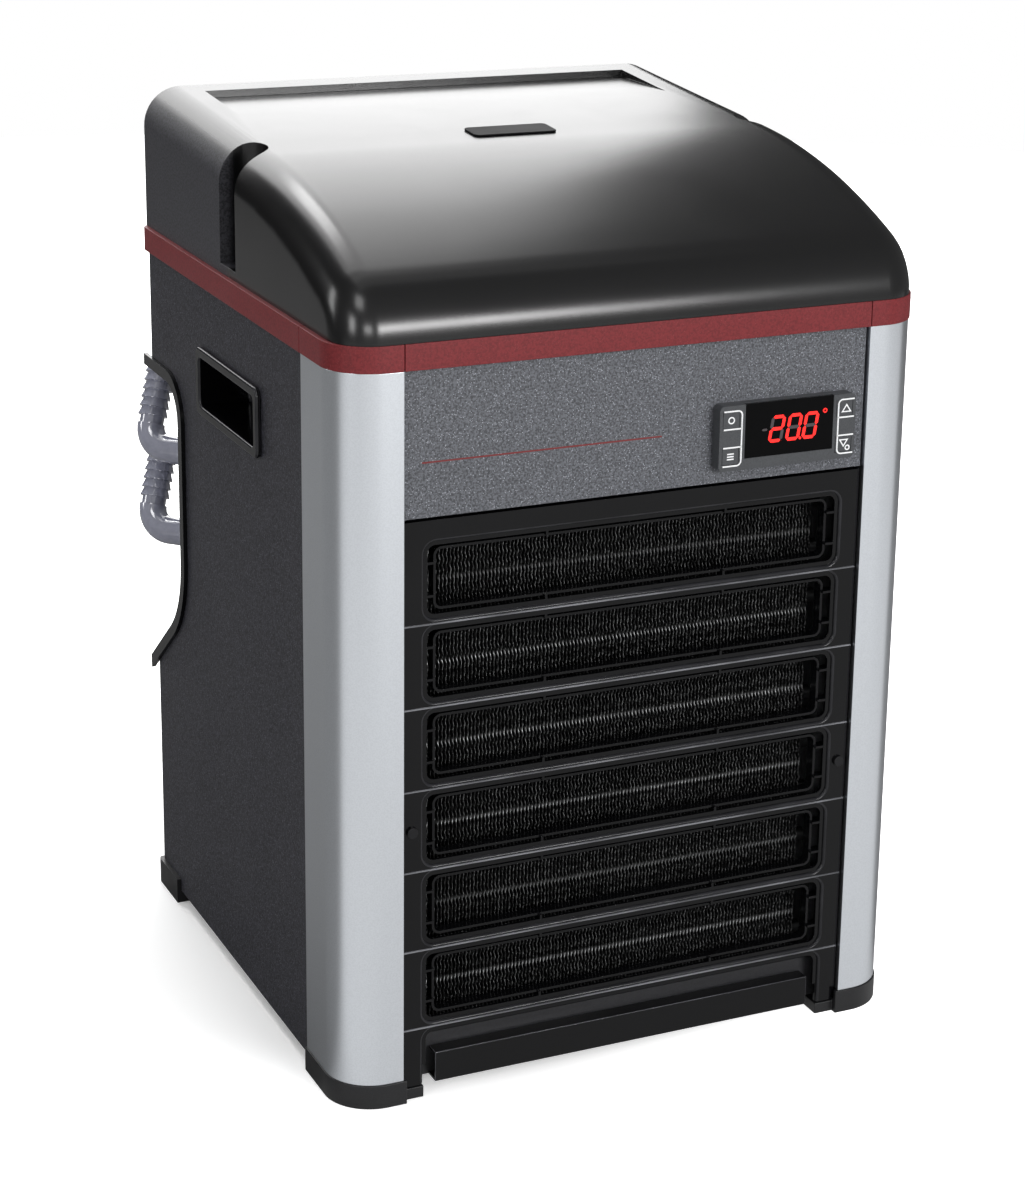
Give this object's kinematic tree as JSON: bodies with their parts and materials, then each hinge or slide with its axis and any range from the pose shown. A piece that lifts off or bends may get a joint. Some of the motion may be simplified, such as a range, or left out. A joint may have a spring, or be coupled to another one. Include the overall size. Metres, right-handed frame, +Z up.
{
  "type": "aquarium chiller",
  "caption": "Floor-standing aquarium water chiller: sheet cabinet with a domed lid, front condenser grille, panel thermostat, handle cups and two swivelling hose barbs in a side bay.",
  "frame": {"origin": "centre of the cabinet's footprint on the floor", "axes": "+Z up, -Y is the front with the grille, +X to the right seen from the front"},
  "size_m": [0.3075, 0.3267, 0.45],
  "materials": {
    "sheet_dark": "satin black powder coat",
    "foot_plastic": "moulded black plastic",
    "anodised": "satin anodised extrusion",
    "panel_paint": "fine-textured graphite powder coat",
    "fascia_paint": "sparkling graphite powder coat",
    "black_plastic": "moulded black plastic",
    "red_plastic": "speckled burgundy plastic",
    "lid_plastic": "fine-textured satin black plastic",
    "black_gloss": "gloss black, bare",
    "screw_steel": "blackened screws",
    "fin_metal": "black-coated aluminium fins and copper tubes",
    "zinc_sheet": "zinc-plated sheet",
    "copper": "drawn copper tube",
    "cast_metal": "painted motor housing",
    "compressor_paint": "black compressor enamel",
    "rubber_black": "black rubber",
    "pvc_grey": "blue-grey PVC",
    "titanium": "drawn titanium tube",
    "bezel_plastic": "dark grey satin plastic",
    "lens_gloss": "black tinted display window with red digits",
    "board": "circuit board"
  },
  "bodies": {
    "cabinet": {"base_pan": "sheet_dark", "foot_front_left": "foot_plastic", "foot_front_right": "foot_plastic", "foot_rear_left": "foot_plastic", "foot_rear_right": "foot_plastic", "post_left": "anodised", "post_right": "anodised", "side_panel_left": "panel_paint", "side_panel_right": "panel_paint", "rear_panel": "panel_paint", "handle_cup_left": "black_plastic", "handle_cup_right": "black_plastic", "hose_bay": "black_plastic", "fascia_panel": "fascia_paint", "grille_frame": "black_plastic", "kick_plate": "black_plastic", "band_front": "red_plastic", "band_side_left": "red_plastic", "band_side_right": "red_plastic", "band_rear": "red_plastic", "band_corner_left": "red_plastic", "band_corner_right": "red_plastic", "lid": "lid_plastic", "badge_plate": "black_gloss", "panel_screws": "screw_steel", "condenser_fins": "fin_metal", "condenser_end_plates": "zinc_sheet", "condenser_tubes": "fin_metal", "fan_shroud": "zinc_sheet", "fan_motor": "cast_metal", "fan_motor_bracket": "zinc_sheet", "compressor": "compressor_paint", "compressor_grommets": "rubber_black", "terminal_cover": "black_plastic", "exchanger_vessel": "pvc_grey", "exchanger_cap": "pvc_grey", "exchanger_stand": "pvc_grey", "titanium_coil": "titanium", "water_pipes": "pvc_grey", "port_connectors": "pvc_grey", "lock_nuts": "pvc_grey", "union_nuts": "pvc_grey", "seal_rings": "rubber_black", "filter_drier": "copper", "capillary_tube": "copper", "suction_line": "copper", "discharge_line": "copper", "controller_case": "black_plastic", "controller_bezel": "bezel_plastic", "controller_lens": "lens_gloss", "controller_board": "board", "mains_inlet": "black_plastic"},
    "fan": {"fan_rotor": "black_plastic", "fan_shaft": "zinc_sheet"},
    "aux_key": {"key_aux": "bezel_plastic"},
    "set_key": {"key_set": "bezel_plastic"},
    "up_key": {"key_up": "bezel_plastic"},
    "down_key": {"key_down": "bezel_plastic"},
    "upper_elbow": {"elbow_upper": "pvc_grey"},
    "lower_elbow": {"elbow_lower": "pvc_grey"}
  },
  "joints": [
    {"name": "fan_spin", "type": "hinge", "parent": "cabinet", "child": "fan", "pos_m": [0, -0.088, 0.156], "axis": [0, 1, 0], "continuous": true},
    {"name": "press_aux", "type": "slide", "parent": "cabinet", "child": "aux_key", "axis": [0, 1, 0], "range_m": [0, 0.0006], "stiffness_N_per_m": 2000},
    {"name": "press_set", "type": "slide", "parent": "cabinet", "child": "set_key", "axis": [0, 1, 0], "range_m": [0, 0.0006], "stiffness_N_per_m": 2000},
    {"name": "press_up", "type": "slide", "parent": "cabinet", "child": "up_key", "axis": [0, 1, 0], "range_m": [0, 0.0006], "stiffness_N_per_m": 2000},
    {"name": "press_down", "type": "slide", "parent": "cabinet", "child": "down_key", "axis": [0, 1, 0], "range_m": [0, 0.0006], "stiffness_N_per_m": 2000},
    {"name": "swivel_upper", "type": "hinge", "parent": "cabinet", "child": "upper_elbow", "pos_m": [-0.14996, 0.1555, 0.2521], "axis": [-0.7071, 0.7071, 0], "range_deg": [0, 35]},
    {"name": "swivel_lower", "type": "hinge", "parent": "cabinet", "child": "lower_elbow", "pos_m": [-0.14996, 0.1555, 0.2059], "axis": [-0.7071, 0.7071, 0], "range_deg": [0, 65]}
  ]
}
